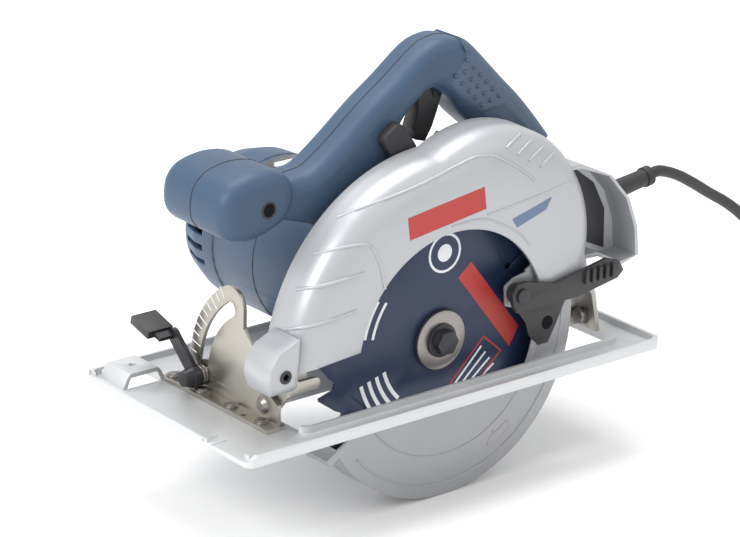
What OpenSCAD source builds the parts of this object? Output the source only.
// Circular saw: the blade faces -Y, the rear and the cord point along +X, +Z is up.
// The origin is the middle of the base plate's underside.
// Shapes are written in saw coordinates: x from the arbor, y from the blade's plane, z from the underside.

/* [Base plate] */
// Length of the base plate
base_length = 320; // [318:1:324]
// Width of the base plate
base_width = 164; // [162:1:168]
// Thickness of the plate
plate_t = 3; // [2.5:0.1:3.2]
// Height of the turned-up rim
rim_h = 7; // [6:0.5:7]
// Thickness of the rim and of the lip round the blade opening
rim_t = 2.4; // [2:0.1:2.8]
// Width of the window for a rip fence
fence_w = 21; // [19:0.5:22]
// Height of the strap that holds a rip fence, above the underside
strap_z = 11.8; // [11:0.2:12.4]
// Radius of the threaded hole in the strap
strap_hole_r = 2.5; // [2.4:0.1:3]

/* [Blade] */
// Radius of the blade at the tooth tips
blade_r = 92; // [90:0.5:92]
// Number of teeth
teeth = 24; // [18:2:30]
// Thickness of the blade body
blade_t = 1.6; // [1.4:0.1:1.8]
// Radius of the arbor hole
arbor_r = 7.94; // [7.9:0.01:8]
// Height of the arbor above the underside at full depth
arbor_z = 30; // [30:0.5:32]
// Distance from the middle of the base plate to the arbor, towards the rear
arbor_x = 7; // [6:0.5:8]
// Distance from the middle of the base plate to the blade's plane
blade_y = -46.5; // [-47:0.5:-46]

/* [Guards] */
// Outer radius of the lower guard
lower_r = 98; // [97:0.5:99]
// Outside half width of the lower guard
lower_half_w = 11; // [10.5:0.1:11.2]
// Outer radius of the upper guard
upper_r = 118; // [116:0.5:119]
// Radius of the arch that shows the blade
arch_r = 72; // [70:0.5:74]
// Sheet thickness of the lower guard
guard_t = 1.6; // [1.4:0.1:1.8]

/* [Tilt and depth] */
// Height of the bevel axis above the underside
bevel_z = 13; // [12.5:0.1:13.5]
// Distance of the bevel axis from the blade's plane
bevel_y = 11; // [10.5:0.1:11.5]
// Distance from the bevel axis to the lock bolt
lock_r = 59; // [58:0.5:60]
// Outer radius of the bevel quadrant
quadrant_r = 73; // [72:0.5:75]
// Largest bevel angle
bevel_max = 50; // [45:1:50]
// Distance of the depth pivot in front of the arbor
depth_pivot_x = -125; // [-126:0.5:-124]
// Height of the depth pivot
depth_pivot_z = 39; // [38.5:0.5:39.5]
// Radius of the depth arc about the depth pivot
depth_arc_r = 170; // [169:0.5:171]
// Largest swing of the head
depth_max = 29; // [20:1:29]

/* [Motor and gears] */
// Gear module
gear_m = 1.25; // [1.2:0.05:1.25]
// Teeth on the drive gear
gear_teeth = 39; // [37:1:39]
// Teeth on the pinion
pinion_teeth = 10; // [9:1:10]
// Outer radius of the motor housing
motor_r = 50; // [48:0.5:50]
// Wall thickness of the plastic housings
shell_t = 3; // [2.5:0.1:3.5]

/* [Handle] */
// Distance of the handle's parting plane from the blade's plane
handle_y = 40; // [39:0.5:41]
// Half width of the handle
handle_half_w = 16; // [14:0.5:17]

/* [Cord] */
// Diameter of the cord
cord_d = 7.5; // [7:0.1:8]
// Number of turns in the put-away coil
coil_turns = 8; // [7:1:9]

/* [Hidden] */

$fn = 96;
fine = 48;
eps = 0.01;
running_gap = 0.05;

base_front = -base_length / 2 - arbor_x;
base_rear = base_length / 2 - arbor_x;
base_near = -base_width / 2 - blade_y;
base_far = base_width / 2 - blade_y;
gear_pitch_r = gear_m * gear_teeth / 2;
pinion_pitch_r = gear_m * pinion_teeth / 2;
gear_centres = gear_pitch_r + pinion_pitch_r;
motor_x = -11;
motor_z = arbor_z + sqrt(gear_centres * gear_centres - motor_x * motor_x);

// colours
blue = [0.27, 0.36, 0.47];
cast = [0.76, 0.77, 0.79];
bright = [0.84, 0.85, 0.86];
zinc = [0.72, 0.70, 0.65];
dark = [0.20, 0.20, 0.21];
steel = [0.60, 0.60, 0.58];
navy = [0.14, 0.19, 0.31];
copper = [0.72, 0.45, 0.20];
brass = [0.80, 0.66, 0.35];
iron = [0.40, 0.40, 0.42];

// planes across the saw, as distances from the blade's plane
face_y = -15;
face_in = -12.4;
back_in = 12.6;
back_y = 16;
arc_y0 = 17;
arc_y1 = 20;
case_y1 = 36;
plate_y1 = 41;
seam_y = 145;
tail_y = 190;

// planes along the saw, as distances from the arbor
quadrant_x0 = -122.3;
quadrant_x1 = -119.8;
web_x0 = -119.5;
web_x1 = -117;
rear_web_x0 = 128;
rear_web_x1 = 130.6;
ear_x0 = 131;
ear_x1 = 133.4;

// the blade opening in the base plate
slot_x0 = -114;
slot_x1 = 131;
slot_y0 = -17.6;
slot_y1 = 30;
relief_x0 = -42;
relief_x1 = 60;
relief_y1 = 42;

// small hardware
bevel_pin_r = 5;
depth_pin_r = 4;
lock_bolt_r = 4;
clamp_bolt_r = 4;
rivet_r = 3;
spindle_r = 8;
shaft_r = 5;
clamp_angle = 8;
clamp_x = depth_pivot_x + depth_arc_r * cos(clamp_angle);
clamp_z = depth_pivot_z + depth_arc_r * sin(clamp_angle);

// moves saw coordinates into the part's own frame
module saw() { translate([arbor_x, blade_y, 0]) children(); }

// a cylinder along Y from y0 to y1, about the point (x, z)
module rod_y(r, y0, y1, x = 0, z = 0) {
  translate([x, y1, z]) rotate([90, 0, 0]) cylinder(r = r, h = y1 - y0);
}

// a cylinder along X from x0 to x1, about the point (y, z)
module rod_x(r, x0, x1, y = 0, z = 0) {
  translate([x0, y, z]) rotate([0, 90, 0]) cylinder(r = r, h = x1 - x0);
}

// a ring along Y
module ring_y(r_out, r_in, y0, y1, x = 0, z = 0) {
  difference() {
    rod_y(r_out, y0, y1, x, z);
    rod_y(r_in, y0 - 1, y1 + 1, x, z);
  }
}

// a flat shape drawn in (x, z), given thickness from y0 to y1
module slab_y(y0, y1) { translate([0, y1, 0]) rotate([90, 0, 0]) linear_extrude(y1 - y0) children(); }

// a flat shape drawn in (y, z), given thickness from x0 to x1
module slab_x(x0, x1) { translate([x0, 0, 0]) rotate([90, 0, 90]) linear_extrude(x1 - x0) children(); }

// a profile drawn in (radius, y), turned about the Y axis through (x, z)
module turned_y(x = 0, z = 0) { translate([x, 0, z]) rotate([-90, 0, 0]) rotate_extrude() children(); }

// a box from one corner to the other
module block(low, high) { translate(low) cube(high - low); }

// a rectangle with round corners, centred
module round_rect(l, w, r) {
  square([l - 2 * r, w], center = true);
  square([l, w - 2 * r], center = true);
  for (sx = [-1, 1], sy = [-1, 1]) translate([sx * (l / 2 - r), sy * (w / 2 - r)]) circle(r);
}

// a slot with round ends along an arc, drawn about the origin
module arc_slot(r, half_w, a0, a1) {
  difference() {
    wedge(r + half_w, a0, a1);
    circle(r - half_w);
  }
  for (a = [a0, a1]) rotate(a) translate([r, 0]) circle(half_w - eps);
}

// a flat wedge of a disc between two angles
module wedge(r, a0, a1) {
  steps = 12;
  reach = r * 1.2;
  intersection() {
    circle(r);
    polygon(concat([[0, 0]], [for (i = [0:steps]) reach * polar(a0 + (a1 - a0) * i / steps)]));
  }
}

// a bar with round ends between two points of a flat drawing
module bar(p, q, w) {
  along = q - p;
  reach = norm(along);
  translate(p) rotate(atan2(along[1], along[0])) translate([0, -w / 2]) square([reach, w]);
  for (end = [p, q]) translate(end) circle(w / 2);
}

// a hexagon prism along Y
module hex_y(across, y0, y1, x = 0, z = 0) {
  translate([x, y1, z]) rotate([90, 0, 0]) cylinder(r = across / 2 / cos(30), h = y1 - y0, $fn = 6);
}

function polar(a) = [cos(a), sin(a)];

// ---------- base plate and what is fixed to it ----------

rivet_x = -127.5;
rivet_ys = [5, 34.5, 64, 93];
flange_t = 2.5;
flange_top = plate_t + flange_t;
strap_x = -146;
strap_y0 = 97;
strap_y1 = 121;
strap_t = 2.6;
front_rim_h = 4.5;

module plate_outline(inset = 0) {
  translate([(base_front + base_rear) / 2, (base_near + base_far) / 2])
    round_rect(base_length - 2 * inset, base_width - 2 * inset, 5);
}

module blade_slot(grow = 0) {
  slot_l = slot_x1 - slot_x0 + 2 * grow;
  slot_w = slot_y1 - slot_y0 + 2 * grow;
  translate([(slot_x0 + slot_x1) / 2, (slot_y0 + slot_y1) / 2]) round_rect(slot_l, slot_w, 5 + grow);
}

module ear_outline() {
  polygon([[-1, 0], [5, 29], [9, 33], [27, 33], [31, 29], [38, 0]]);
}

module strap_outline() {
  foot = 17;
  top = 10;
  difference() {
    polygon([[-foot, 0], [-top - 2, strap_z - 2], [-top, strap_z], [top, strap_z], [top + 2, strap_z - 2],
      [foot, 0]]);
    polygon([[-foot + 3, -1], [-top, strap_z - strap_t - 1], [-top + 1, strap_z - strap_t],
      [top - 1, strap_z - strap_t], [top, strap_z - strap_t - 1], [foot - 3, -1]]);
  }
}

module base_plate() {
  mark_w = 1;
  mark_depth = 0.6;
  color(bright) saw() difference() {
    union() {
      linear_extrude(plate_t) plate_outline();
      linear_extrude(rim_h) difference() {
        plate_outline();
        plate_outline(rim_t);
      }
      linear_extrude(rim_h) intersection() {
        blade_slot(rim_t);
        translate([-150, -30]) square([300, 15]);
      }
      slab_x(ear_x0, ear_x1) ear_outline();
      slab_y(strap_y0, strap_y1) translate([strap_x, 0]) strap_outline();
    }
    translate([0, 0, -1]) linear_extrude(rim_h + 2) blade_slot();
    block([relief_x0, slot_y1 - 1, -1], [relief_x1, relief_y1, plate_t + 1]);
    // the low front edge, open where the cut line is read
    block([base_front - 1, base_near - 1, front_rim_h], [base_front + rim_t, base_far - rim_t, rim_h + 1]);
    block([base_front - 1, base_near + rim_t, plate_t], [base_front + rim_t + eps, 5, rim_h + 1]);
    translate([base_front, base_near - 1, plate_t]) rotate([0, -35, 0]) cube([16, rim_t + 2, 12]);
    // the window for a rip fence, and the plate cut away under its strap
    block([strap_x - fence_w / 2, base_far - rim_t - 1, plate_t], [strap_x + fence_w / 2, base_far + 1, 5.2]);
    block([strap_x - 14, strap_y0, -1], [strap_x + 14, strap_y1, plate_t + eps]);
    translate([strap_x, (strap_y0 + strap_y1) / 2, 0]) cylinder(r = strap_hole_r, h = strap_z + 1);
    for (y = rivet_ys) translate([rivet_x, y, -1]) cylinder(r = rivet_r + running_gap, h = plate_t + 2);
    for (y = [0, 8.4]) block([base_front - 1, y - mark_w / 2, plate_t - mark_depth],
      [base_front + 11, y + mark_w / 2, plate_t + 1]);
    rod_x(bevel_pin_r, ear_x0 - 1, ear_x1 + 1, bevel_y, bevel_z);
  }
}

corner_r = 12.3;
corner_a = 58.4;
slot_half_w = lock_bolt_r + 0.5;

module quadrant_outline() {
  difference() {
    union() {
      translate([bevel_y, bevel_z]) wedge(quadrant_r, -10, corner_a);
      translate([bevel_y, bevel_z]) translate((quadrant_r - corner_r) * polar(corner_a)) circle(corner_r);
      polygon([[-3, plate_t], [-3, 17], [13.5, 25.5], [15, 40], [30.5, 54], [30.5, 65], [60, 60], [84, plate_t]]);
    }
    translate([0, plate_t - 50]) square([100, 50]);
    translate([bevel_y, bevel_z]) arc_slot(lock_r, slot_half_w, -1, bevel_max + 7);
    translate([bevel_y, bevel_z]) circle(bevel_pin_r);
  }
}

module bevel_quadrant() {
  color(zinc) saw() difference() {
    union() {
      slab_x(quadrant_x0, quadrant_x1) quadrant_outline();
      block([-133, -7, plate_t], [quadrant_x1, 98, flange_top]);
    }
    for (y = rivet_ys) translate([rivet_x, y, 0]) cylinder(r = rivet_r + running_gap, h = 10);
    for (y = [20, 76]) translate([rivet_x - 2, y, 0]) cylinder(r = 1.6, h = 10);
  }
}

module quadrant_rivets() {
  color(steel) saw() for (y = rivet_ys) translate([rivet_x, y, 0]) {
    cylinder(r = rivet_r, h = flange_top + 1.8);
    translate([0, 0, flange_top]) cylinder(r = rivet_r + 1.2, h = 1.2);
  }
}

module bevel_pivot_rivet() {
  head_r = 5.5;
  color(steel) saw() {
    rod_x(bevel_pin_r, quadrant_x0, web_x1 + 0.2, bevel_y, bevel_z);
    translate([quadrant_x0, bevel_y, bevel_z]) rotate([0, -90, 0]) cylinder(r1 = head_r, r2 = 3, h = 2.6);
    rod_x(head_r, web_x1 + 0.2, web_x1 + 2.4, bevel_y, bevel_z);
  }
}

module rear_pivot_bolt() {
  color(steel) saw() {
    rod_x(bevel_pin_r, rear_web_x0 - 0.3, ear_x1 + 1, bevel_y, bevel_z);
    rod_x(5.4, rear_web_x0 - 1.6, rear_web_x0 - 0.3, bevel_y, bevel_z);
    rod_x(4.6, rear_web_x0 - 4.2, rear_web_x0 - 1.6, bevel_y, bevel_z);
    rod_x(5.6, ear_x1, ear_x1 + 3.4, bevel_y, bevel_z);
  }
}

// ---------- tilt frame: the brackets that lean for a bevel cut ----------

lock_y = bevel_y + lock_r;
cheek_t = 2.5;
cheek_ys = [-8.4, 4];
arc_half_w = 8;
arc_top_a = clamp_angle + depth_max + 3;

module cheek_outline(front_z) {
  difference() {
    union() {
      bar([-115, 27.5], [-99, 27.5], 7);
      translate([depth_pivot_x, depth_pivot_z]) circle(7.5);
      polygon([[web_x0, front_z], [-115, front_z], [-111, 24], [-111, 31], [-119, 39], [-131, 36], [-126, 31.6],
        [-119.5, 28]]);
    }
    translate([depth_pivot_x, depth_pivot_z]) circle(depth_pin_r + running_gap);
  }
}

module front_tilt_bracket() {
  color(zinc) saw() {
    slab_x(web_x0, web_x1) difference() {
      union() {
        bar([bevel_y, bevel_z], [lock_y, bevel_z], 17);
        polygon([[cheek_ys[0], 23], [cheek_ys[0], 27.5], [6.5, 27.5], [bevel_y + 8, bevel_z], [bevel_y, 4.5],
          [6, 6.5]]);
      }
      translate([bevel_y, bevel_z]) circle(bevel_pin_r + running_gap);
      translate([lock_y, bevel_z]) circle(lock_bolt_r + running_gap);
    }
    slab_y(cheek_ys[0], cheek_ys[0] + cheek_t) cheek_outline(24);
    slab_y(cheek_ys[1], cheek_ys[1] + cheek_t) cheek_outline(20);
  }
}

module rear_tilt_bracket() {
  color(zinc) saw() {
    slab_x(rear_web_x0, rear_web_x1) difference() {
      polygon([[-3, 6], [3, 29], [7, 33], [15, 33], [19, 29], [19, 6]]);
      translate([bevel_y, bevel_z]) circle(bevel_pin_r + running_gap);
    }
    slab_y(arc_y0, arc_y1) difference() {
      union() {
        translate([33, 5]) square([rear_web_x1 - 33, 12]);
        translate([depth_pivot_x, depth_pivot_z]) difference() {
          wedge(depth_arc_r + arc_half_w, -9, arc_top_a);
          circle(depth_arc_r - arc_half_w);
        }
      }
      translate([depth_pivot_x, depth_pivot_z])
        arc_slot(depth_arc_r, clamp_bolt_r + 0.5, clamp_angle, clamp_angle + depth_max);
    }
  }
}

lever_x0 = -129.5;
lever_x1 = -126.5;
lever_a = 41.6;
lever_l = 29;
pad_a = 15;

module bevel_lock_bolt() {
  color(steel) saw() {
    rod_x(lock_bolt_r, lever_x0 - 5, web_x1, lock_y, bevel_z);
    rod_x(8, web_x1, web_x1 + 3.5, lock_y, bevel_z);
  }
}

module bevel_lock_washers() {
  color(steel) saw() for (x = [quadrant_x0 - 1.9, quadrant_x0 - 3.9]) difference() {
    rod_x(6.2, x, x + 1.6, lock_y, bevel_z);
    rod_x(lock_bolt_r, x - 1, x + 3, lock_y, bevel_z);
  }
}

module depth_pivot_pin() {
  color(dark) saw() difference() {
    union() {
      rod_y(depth_pin_r, nose_y0 - 0.4, nose_y1 + 2.6, depth_pivot_x, depth_pivot_z);
      rod_y(6, nose_y1, nose_y1 + 2.2, depth_pivot_x, depth_pivot_z);
    }
    hex_y(4, face_y, nose_y0 + 3, depth_pivot_x, depth_pivot_z);
  }
}

// The frame of the bent end of the lever, its y along the pad.
module lever_bend() {
  translate([0, lock_y, bevel_z]) rotate([lever_a, 0, 0]) translate([0, lever_l, 0])
    rotate([pad_a - lever_a, 0, 0]) children();
}

module bevel_lever() {
  tip = [lock_y, bevel_z] + lever_l * polar(lever_a);
  color(iron) saw() {
    slab_x(lever_x0, lever_x1) difference() {
      union() {
        translate([lock_y, bevel_z]) circle(6);
        bar([lock_y, bevel_z], tip, 9);
      }
      translate([lock_y, bevel_z]) circle(lock_bolt_r + running_gap);
    }
    lever_bend() block([lever_x0 - 10, -1.5, -1.2], [lever_x1, 16, 1.2]);
  }
}

module bevel_lever_pad() {
  color(dark) saw() lever_bend() difference() {
    block([lever_x0 - 14, 5, -2.6], [lever_x1 + 1, 24, 2.6]);
    block([lever_x0 - 10 - running_gap, 0, -1.2 - running_gap],
      [lever_x1 + running_gap, 16 + running_gap, 1.2 + running_gap]);
  }
}

module bevel_knob() {
  color(dark) saw() difference() {
    translate([lever_x0, lock_y, bevel_z]) rotate([0, -90, 0]) {
      cylinder(r = 6.6, h = 2);
      translate([0, 0, 2]) cylinder(r1 = 6.2, r2 = 4.6, h = 6);
    }
    rod_x(lock_bolt_r + running_gap, lever_x0 - 5.1, lever_x0 + 1, lock_y, bevel_z);
  }
}

// ---------- head: guard, gear case, motor and handle, which swing on the depth pivot ----------

nose_y0 = -14;
nose_y1 = 10.5;
hub_r = 21;
hub_y0 = 5;
bearing_r = 17.5;
case_r = 29;
cavity_r = 101;
hump_x = 32;
hump_z = 76;
hump_r = 81.5;

module guard_profile(r) {
  polygon([[0, face_y], [r - 14.5, face_y], [r - 8.5, -12.5], [r - 3.5, -9], [r - 0.5, -3], [r, back_y],
    [0, back_y]]);
}

module chute_outline(inset = 0) {
  polygon([[95, 60 + inset], [121, 59 + inset], [141, 49 + inset], [156 - inset, 53], [154 - inset, 72],
    [146 - inset, 92], [130 - inset, 110], [104, 122 - inset], [80, 122 - inset]]);
}

module upper_guard() {
  color(cast) saw() difference() {
    union() {
      difference() {
        union() {
          intersection() {
            union() {
              turned_y(0, arbor_z) guard_profile(upper_r);
              intersection() {
                turned_y(hump_x, hump_z) guard_profile(hump_r);
                block([-10, -20, 40], [130, 20, 170]);
              }
            }
            slab_y(-20, 20) polygon([[-119, 200], [-119, 36], [-102, 39.5], [-71, 42], [-50, 51.5], [160, 51.5],
              [160, 200]]);
          }
          slab_y(-8, back_y) chute_outline();
          nose();
        }
        rod_y(cavity_r, face_in, back_in, 0, arbor_z);
        intersection() {
          rod_y(hump_r - 11, face_in, back_in, hump_x, hump_z);
          block([-8, face_in, 60], [130, back_in, 170]);
        }
        rod_y(arch_r, face_y - 1, face_in + 1, 0, arbor_z);
        slab_y(-9, back_in) chute_outline(2.6);
        rod_y(10.5, cheek_ys[0] - 0.6, cheek_ys[1] + cheek_t + 0.5, depth_pivot_x, depth_pivot_z);
        block([-134, cheek_ys[0] - 0.6, 20], [-98, cheek_ys[1] + cheek_t + 0.5, depth_pivot_z]);
      }
      slab_y(back_in, back_y) {
        translate([0, arbor_z]) circle(case_r);
        polygon([[-75, 42], [-27, 20], [27, 20], [75, 52], [60, 80], [-75, 80]]);
      }
      rod_y(hub_r, hub_y0, back_y, 0, arbor_z);
    }
    rod_y(bearing_r, hub_y0 - 1, back_y + 1, 0, arbor_z);
    rod_y(depth_pin_r, nose_y0 - 1, nose_y1 + 1, depth_pivot_x, depth_pivot_z);
    rod_y(clamp_bolt_r, back_in - 1, back_y + 1, clamp_x, clamp_z);
    guard_screw_holes();
  }
}

module nose() {
  difference() {
    slab_y(nose_y0, nose_y1) polygon([[-115, 60], [-129, 54], [-135.5, 46], [-137, 38], [-134, 28], [-117, 28]]);
    translate([-140, nose_y0, 31]) rotate([-45, 0, 0]) translate([0, -8, -14]) cube([30, 16, 14]);
  }
}

guard_screw_spots = [[-22, 72], [12, 72], [-24, 46], [24, 46]];

module guard_screw_holes() {
  for (spot = guard_screw_spots) rod_y(2, back_in - 1, case_y1 + 1, spot[0], spot[1]);
}

module guard_screws() {
  color(steel) saw() for (spot = guard_screw_spots) rod_y(2, back_in, case_y1, spot[0], spot[1]);
}

module case_outline(inset = 0) {
  translate([0, arbor_z]) circle(case_r - inset);
  translate([motor_x, motor_z]) circle(20 - inset);
  polygon([[-29 + inset, arbor_z], [29 - inset, arbor_z], [20 - inset, 68], [-31 + inset, 60]]);
  for (spot = guard_screw_spots) translate(spot) circle(6 - inset);
}

module gear_case() {
  color(cast) saw() difference() {
    slab_y(back_y, case_y1) case_outline();
    rod_y(gear_pitch_r + gear_m + 1, back_y + 2.6, case_y1 + 1, 0, arbor_z);
    rod_y(pinion_pitch_r + gear_m + 1, back_y + 1.5, case_y1 + 1, motor_x, motor_z);
    rod_y(spindle_r + 1, back_y - 1, case_y1, 0, arbor_z);
    guard_screw_holes();
  }
}

module bearing_plate() {
  color(cast) saw() difference() {
    slab_y(case_y1, plate_y1) {
      translate([motor_x, motor_z]) circle(motor_r);
      translate([0, arbor_z]) circle(case_r);
    }
    rod_y(11, case_y1 - 1, plate_y1 - 1, 0, arbor_z);
    rod_y(11, case_y1 - 1, plate_y1 + 1, motor_x, motor_z);
  }
}

motor_screw_r = 1.2;
motor_screw_ring = motor_r - shell_t / 2;

module motor_screw_rods() {
  for (a = [45:90:315])
    rod_y(motor_screw_r, 131, 155, motor_x + motor_screw_ring * cos(a), motor_z + motor_screw_ring * sin(a));
}

module brush_blocks() {
  for (side = [-1, 1]) translate([motor_x, 0, motor_z]) rotate([0, 90 * side, 0])
    block([14.3, 153, -4], [motor_r - shell_t, 161, 4]);
}

module motor_housing() {
  color(blue) saw() difference() {
    rod_y(motor_r, plate_y1, seam_y, motor_x, motor_z);
    rod_y(motor_r - shell_t, plate_y1 - 1, seam_y + 1, motor_x, motor_z);
    for (a = [200:14:340]) translate([motor_x, 0, motor_z]) rotate([0, -a, 0])
      block([motor_r - shell_t - 1, plate_y1 + 8, -2], [motor_r + 1, plate_y1 + 20, 2]);
    motor_screw_rods();
  }
}

module motor_end_cap() {
  color(blue) saw() difference() {
    turned_y(motor_x, motor_z) polygon([[0, seam_y], [motor_r, seam_y], [motor_r - 1, 166], [motor_r - 6, 182],
      [motor_r - 14, tail_y], [0, tail_y]]);
    turned_y(motor_x, motor_z) polygon([[0, seam_y - 1], [motor_r - shell_t, seam_y - 1], [motor_r - 4, 165],
      [motor_r - 7, 174], [0, 174]]);
    rod_y(12, 173, 184, motor_x, motor_z);
    for (a = [150:12:198]) translate([motor_x, 0, motor_z]) rotate([0, -a, 0])
      block([motor_r - 12, 157, -2], [motor_r + 1, 178, 2]);
    motor_screw_rods();
    brush_blocks();
  }
}

module stator_core() {
  color(iron) saw() ring_y(motor_r - shell_t, 26, 66, 122, motor_x, motor_z);
}

module field_coils() {
  color(copper) saw() {
    ring_y(40, 28, 60, 66, motor_x, motor_z);
    ring_y(40, 28, 122, 128, motor_x, motor_z);
  }
}

module armature_shaft() {
  color(steel) saw() {
    rod_y(pinion_bore, 18.5, 33, motor_x, motor_z);
    rod_y(shaft_r, 33, 183, motor_x, motor_z);
  }
}

module armature_core() {
  color(iron) saw() ring_y(24, shaft_r, 68, 120, motor_x, motor_z);
}

module commutator() {
  color(copper) saw() ring_y(14, shaft_r, 148, 166, motor_x, motor_z);
}

module fan() {
  blades = 18;
  color(dark) saw() {
    ring_y(12, shaft_r, 46, 58, motor_x, motor_z);
    ring_y(43, 10, 56.4, 58, motor_x, motor_z);
    for (i = [0:blades - 1]) translate([motor_x, 0, motor_z]) rotate([0, i * 360 / blades, 0])
      block([9, 47, -0.7], [42, 57, 0.7]);
  }
}

module carbon_brushes() {
  color(dark) saw() brush_blocks();
}

module spindle_bearings() {
  color(steel) saw() {
    ring_y(bearing_r, spindle_r + running_gap, hub_y0 + 1, hub_y0 + 9, 0, arbor_z);
    ring_y(11, shaft_r + running_gap, case_y1, plate_y1 - 1, 0, arbor_z);
  }
}

module armature_bearings() {
  color(steel) saw() {
    ring_y(11, shaft_r + running_gap, case_y1, plate_y1, motor_x, motor_z);
    ring_y(12, shaft_r + running_gap, 174, 182, motor_x, motor_z);
  }
}

// teeth of a spur gear as plain wedges
module gear_outline(count, bore) {
  pitch_r = gear_m * count / 2;
  half = 90 / count;
  difference() {
    union() {
      circle(pitch_r - 1.25 * gear_m);
      for (i = [0:count - 1]) rotate(i * 360 / count) polygon([
        (pitch_r - 1.4 * gear_m) * polar(-half * 1.15), (pitch_r + gear_m * 0.8) * polar(-half * 0.45),
        (pitch_r + gear_m * 0.8) * polar(half * 0.45), (pitch_r - 1.4 * gear_m) * polar(half * 1.15)]);
    }
    circle(bore);
  }
}

module drive_gear() {
  color(steel) saw() slab_y(20, 29) translate([0, arbor_z]) gear_outline(gear_teeth, spindle_r);
}

module pinion() {
  mesh = atan2(motor_z - arbor_z, motor_x);
  color(steel) saw() slab_y(19, 31) translate([motor_x, motor_z])
    rotate(mesh + 180 + 180 / pinion_teeth + mesh_turn) gear_outline(pinion_teeth, pinion_bore);
}

pinion_bore = 2.5;
mesh_turn = ((atan2(motor_z - arbor_z, motor_x) * gear_teeth / 360) % 1) * 360 / pinion_teeth;

// ---------- handle ----------

relief_tilt = 8.2;
relief_base = [154, 39, 74.5];
sleeve_l = 54;
sleeve_way = [cos(relief_tilt), 0, sin(relief_tilt)];
hand_x0 = -97;

module handle_outline() {
  difference() {
    polygon([[hand_x0, 147], [-76, 141.6], [-33, 173], [6.5, 201], [20, 205], [30, 203.5], [42, 199], [67, 175],
      [81, 161.5], [95, 146], [107, 130.5], [125, 108], [150, 88], [154, 82], [154, 68], [148, 64], [80, 66],
      [36, 76], [-30, 90], [-50, 96], [-62, 110], [hand_x0, 117]]);
    polygon([[14, 176], [-6, 163], [-14, 150], [-16, 135], [-8, 122], [10, 116], [60, 112], [78, 106], [80, 112],
      [72, 124], [56, 140], [40, 154], [30, 168]]);
    translate([motor_x, motor_z]) circle(motor_r);
  }
}

trigger_x = 18;
trigger_z = 180;
handle_screw_spots = [[-84, 132], [-40, 140], [52, 178], [112, 112], [140, 76], [20, 105]];

module handle_half(y0, y1) {
  difference() {
    slab_y(y0, y1) handle_outline();
    block([-1, handle_y - 6, 160], [40, handle_y + 6, 192]);
    for (spot = handle_screw_spots) rod_y(2.2, y0 - 1, y1 + 1, spot[0], spot[1]);
    rod_y(2, handle_y - 9, handle_y + 9, trigger_x, trigger_z);
    rod_y(13, back_y, 29, clamp_x, clamp_z);
    translate(relief_base) rotate([0, 90 - relief_tilt, 0]) translate([0, 0, -10]) cylinder(r = 6.6, h = 20);
  }
}

module handle_right() { color(blue) saw() handle_half(handle_y - handle_half_w, handle_y); }

module handle_left() { color(blue) saw() handle_half(handle_y, handle_y + handle_half_w); }

module front_horn() {
  color(blue) saw() difference() {
    slab_y(20, 85) polygon([[hand_x0, 147], [-109, 149], [-117, 149.5], [-130, 147], [-139, 143], [-145, 131],
      [-142, 115], [-132, 110], [-122, 109], [hand_x0, 117]]);
    rod_y(5, 19, 32, -112.5, 128);
  }
}

module grip_pad() {
  color(dark) saw() slab_y(handle_y - handle_half_w, handle_y + handle_half_w)
    polygon([[42, 199], [67, 175], [81, 161.5], [95, 146], [107, 130.5], [109, 132], [97, 148], [83, 163.5],
      [69, 177], [43, 202]]);
}

module switch_body() {
  color(dark) saw() block([4, handle_y - 6, 187], [36, handle_y + 6, 192]);
}

module trigger_pin() {
  color(steel) saw() rod_y(2, handle_y - 9, handle_y + 9, trigger_x, trigger_z);
}

module trigger() {
  color(dark) saw() slab_y(handle_y - 5.6, handle_y + 5.6) difference() {
    polygon([[9, 160], [6, 152], [8, 144], [15, 142], [20, 150], [24, 160], [28, 172], [25, 184], [12, 184],
      [9, 174]]);
    translate([trigger_x, trigger_z]) circle(2 + running_gap);
  }
}

module handle_screws() {
  color(steel) saw() for (spot = handle_screw_spots)
    rod_y(2.2, handle_y - handle_half_w + 0.5, handle_y + handle_half_w - 2, spot[0], spot[1]);
}

module motor_screws() {
  color(steel) saw() motor_screw_rods();
}

module rating_label() {
  color(dark) saw() difference() {
    intersection() {
      ring_y(motor_r + 0.5, motor_r, 100, 140, motor_x, motor_z);
      block([motor_x - 30, 100, motor_z], [motor_x + 12, 140, motor_z + 60]);
    }
  }
}

module strain_relief() {
  color(dark) saw() translate(relief_base) rotate([0, 90 - relief_tilt, 0]) {
    translate([0, 0, -10]) cylinder(r = 6.6, h = 12);
    translate([0, 0, 2]) cylinder(r1 = 6.6, r2 = 5.6, h = sleeve_l - 6);
    translate([0, 0, sleeve_l - 5]) cylinder(r = 6.6, h = 5);
  }
}

module depth_clamp_bolt() {
  color(steel) saw() {
    rod_y(clamp_bolt_r, back_in + 0.2, 26.4, clamp_x, clamp_z);
    rod_y(6.5, 23.8, 26.4, clamp_x, clamp_z);
  }
}

lever_tip = [-18, 150];

module depth_lever() {
  color(steel) saw() slab_y(20.5, 23.5) difference() {
    union() {
      translate([clamp_x, clamp_z]) circle(11);
      bar([clamp_x, clamp_z], lever_tip, 11);
    }
    translate([clamp_x, clamp_z]) circle(clamp_bolt_r + running_gap);
  }
}

module depth_lever_tip() {
  color(dark) saw() difference() {
    slab_y(17.2, 23.6) translate([lever_tip[0], lever_tip[1]]) rotate(35) round_rect(17, 25, 5);
    slab_y(20.5, 23.5) bar([clamp_x, clamp_z], lever_tip, 11);
  }
}

// ---------- blade and what turns with it ----------

washer_r = 18.5;

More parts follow.
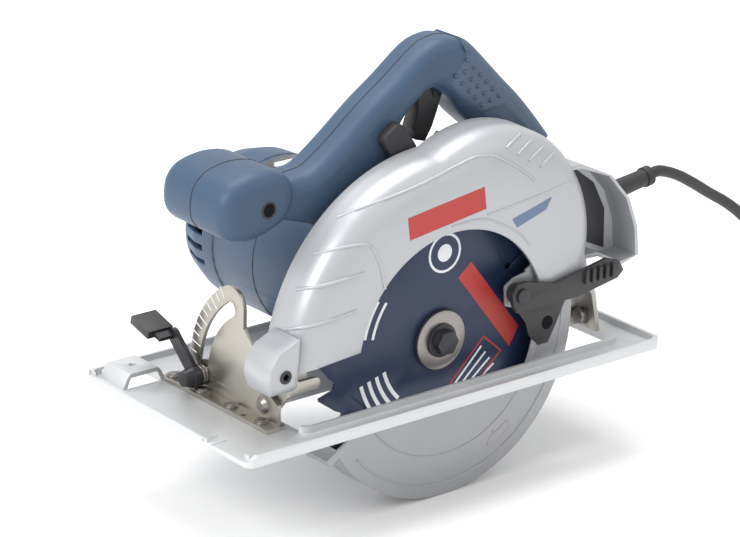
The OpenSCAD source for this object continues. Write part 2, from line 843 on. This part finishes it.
module blade_outline() {
  pitch = 360 / teeth;
  difference() {
    circle(blade_r);
    for (i = [0:teeth - 1]) rotate(i * pitch) polygon([(blade_r + 1) * polar(0), (blade_r - 11) * polar(-0.8),
      (blade_r - 13) * polar(-3.4), (blade_r - 9) * polar(-6.4), (blade_r - 1.8) * polar(2.4 - pitch),
      (blade_r + 1) * polar(0.6 - pitch)]);
    for (i = [0:3]) rotate(i * 90 + 37) {
      translate([blade_r - 28, -0.6]) square([30, 1.2]);
      translate([blade_r - 28, 0]) circle(2.2);
    }
    circle(arbor_r);
  }
}

module saw_blade() {
  color(navy) saw() slab_y(-blade_t / 2, blade_t / 2) translate([0, arbor_z]) rotate(-4) blade_outline();
}

module inner_washer() {
  color(steel) saw() ring_y(washer_r, arbor_r, blade_t / 2, 4.2, 0, arbor_z);
}

module outer_washer() {
  color(steel) saw() ring_y(washer_r, arbor_r, -blade_t / 2 - 3, -blade_t / 2, 0, arbor_z);
}

module blade_bolt() {
  color(iron) saw() {
    hex_y(14, -10.5, -blade_t / 2 - 4.2, 0, arbor_z);
    rod_y(10.5, -blade_t / 2 - 4.2, -blade_t / 2 - 3, 0, arbor_z);
  }
}

module spindle() {
  color(steel) saw() {
    rod_y(arbor_r, -blade_t / 2 - 3, 4.2, 0, arbor_z);
    rod_y(spindle_r, 4.2, 32, 0, arbor_z);
    rod_y(shaft_r, 32, 39.5, 0, arbor_z);
  }
}

// ---------- lower guard ----------

guard_a0 = -150;
guard_a1 = 30;
lever_post = [50, 52];

module lower_guard() {
  wall = guard_t;
  color(bright) saw() translate([0, 0, arbor_z]) {
    slab_y(-lower_half_w, wall - lower_half_w) difference() {
      union() {
        difference() {
          wedge(lower_r, guard_a0, guard_a1);
          intersection() {
            circle(lower_r - 30);
            translate([-100, -42]) square([200, 142]);
          }
        }
        polygon([[44, 14], [66, 6], [68, 14], [60, 33], [50, 31], [43, 27]]);
      }
      translate(lever_post - [0, arbor_z]) circle(2.5);
    }
    slab_y(lower_half_w - wall, lower_half_w) difference() {
      union() {
        wedge(lower_r, guard_a0, guard_a1);
        circle(hub_r + 7);
      }
      circle(hub_r + running_gap);
    }
    slab_y(-lower_half_w, lower_half_w) difference() {
      union() {
        wedge(lower_r, guard_a0, guard_a1);
        wedge(lower_r + 8, guard_a0, guard_a0 + 3);
      }
      circle(lower_r - wall);
    }
  }
}

lever_y0 = -19.2;
lever_y1 = -16.4;
foot_y0 = -lower_half_w - 0.8;

module lift_lever() {
  color(dark) saw() difference() {
    union() {
      slab_y(lever_y0, lever_y1) polygon([[46, 41.5], [43, 47], [42, 54], [46, 60], [54, 60], [77, 54], [97, 57.5],
        [119, 61.4], [129, 58], [133, 51], [128, 46.8], [111, 44], [96, 41.5]]);
      slab_y(foot_y0, -lower_half_w) polygon([[46, 48], [50, 56], [55, 54], [62, 47], [84, 46], [93, 40],
        [85, 24], [79, 13], [71, 13], [63, 21], [60, 30]]);
      rod_y(6, lever_y1 - 1, -lower_half_w, lever_post[0], lever_post[1]);
      for (x = [100:5.5:122]) block([x, lever_y0 - 2, 49], [x + 2.4, lever_y0 + 1, 58]);
    }
    rod_y(2.5, lever_y0 - 3, 0, lever_post[0], lever_post[1]);
  }
}

module lift_lever_screw() {
  color(steel) saw() {
    rod_y(2.5, lever_y0, guard_t - lower_half_w, lever_post[0], lever_post[1]);
    rod_y(4.5, lever_y0 - 1.6, lever_y0, lever_post[0], lever_post[1]);
  }
}

// ---------- cord ----------

cord_sides = 10;
lie_z = -68;
coil_x = 446;
coil_r = 43;
bundle_r = cord_d / 2 * sqrt(coil_turns);
coil_z = lie_z + bundle_r;
cord_end_x = coil_x - coil_r - bundle_r;
cord_route = [relief_base + sleeve_l * sleeve_way, relief_base + (sleeve_l + 9) * sleeve_way, [232, 39, 78],
  [248, 39, 69], [264, 40, 59], [279, 40, 50], [294, 40, 39], [314, 40, 20], [332, 40, -8], [346, 40, -36],
  [358, 40, -50], [374, 40, coil_z - 0.5], [cord_end_x + 0.1, 40, coil_z]];

// a point on a smooth curve through the route
function along_route(t) =
  let (last = len(cord_route) - 1, i = min(floor(t), last - 1), f = t - i,
    p = cord_route[max(i - 1, 0)], q = cord_route[i], r = cord_route[i + 1], s = cord_route[min(i + 2, last)])
  0.5 * (2 * q + (r - p) * f + (2 * p - 5 * q + 4 * r - s) * f * f + (3 * q - p - 3 * r + s) * f * f * f);

module power_cord() {
  rings = 26;
  last = len(cord_route) - 1;
  points = [for (k = [0:rings])
    let (t = last * k / rings, here = along_route(t), step = 0.01,
      heading = along_route(min(t + step, last)) - along_route(max(t - step, 0)),
      up = cross(heading, [0, 1, 0]) / norm(cross(heading, [0, 1, 0])), side = cross(up, heading) / norm(heading))
    for (j = [0:cord_sides - 1]) let (a = j * 360 / cord_sides)
      here + cord_d / 2 * (cos(a) * up + sin(a) * side)];
  walls = [for (k = [0:rings - 1], j = [0:cord_sides - 1]) let (n = (j + 1) % cord_sides)
    [k * cord_sides + j, k * cord_sides + n, (k + 1) * cord_sides + n, (k + 1) * cord_sides + j]];
  ends = [[for (j = [cord_sides - 1:-1:0]) j], [for (j = [0:cord_sides - 1]) rings * cord_sides + j]];
  color(dark) saw() polyhedron(points, concat(walls, ends));
}

module cord_coil() {
  color(dark) saw() translate([coil_x, 40, coil_z]) rotate_extrude() translate([coil_r, 0]) circle(bundle_r, $fn = fine);
}

plug_x = coil_x + coil_r + bundle_r;
plug_z = coil_z;

module plug_body() {
  color(dark) saw() rod_x(10, plug_x - 0.1, plug_x + 38, 40, plug_z);
}

module plug_blades() {
  color(brass) saw() for (side = [-1, 1])
    block([plug_x + 38, 40 + side * 6.35 - 0.8, plug_z - 3.2], [plug_x + 54, 40 + side * 6.35 + 0.8, plug_z + 3.2]);
}

base_plate();
bevel_quadrant();
quadrant_rivets();
bevel_pivot_rivet();
rear_pivot_bolt();
front_tilt_bracket();
rear_tilt_bracket();
bevel_lock_bolt();
bevel_lock_washers();
bevel_lever();
bevel_lever_pad();
bevel_knob();
upper_guard();
depth_pivot_pin();
gear_case();
bearing_plate();
motor_housing();
motor_end_cap();
stator_core();
field_coils();
carbon_brushes();
spindle_bearings();
armature_bearings();
handle_right();
handle_left();
front_horn();
grip_pad();
switch_body();
trigger_pin();
handle_screws();
motor_screws();
guard_screws();
rating_label();
depth_clamp_bolt();
strain_relief();
depth_lever();
depth_lever_tip();
saw_blade();
inner_washer();
outer_washer();
blade_bolt();
spindle();
drive_gear();
armature_shaft();
armature_core();
commutator();
fan();
pinion();
lower_guard();
lift_lever();
lift_lever_screw();
trigger();
power_cord();
cord_coil();
plug_body();
plug_blades();
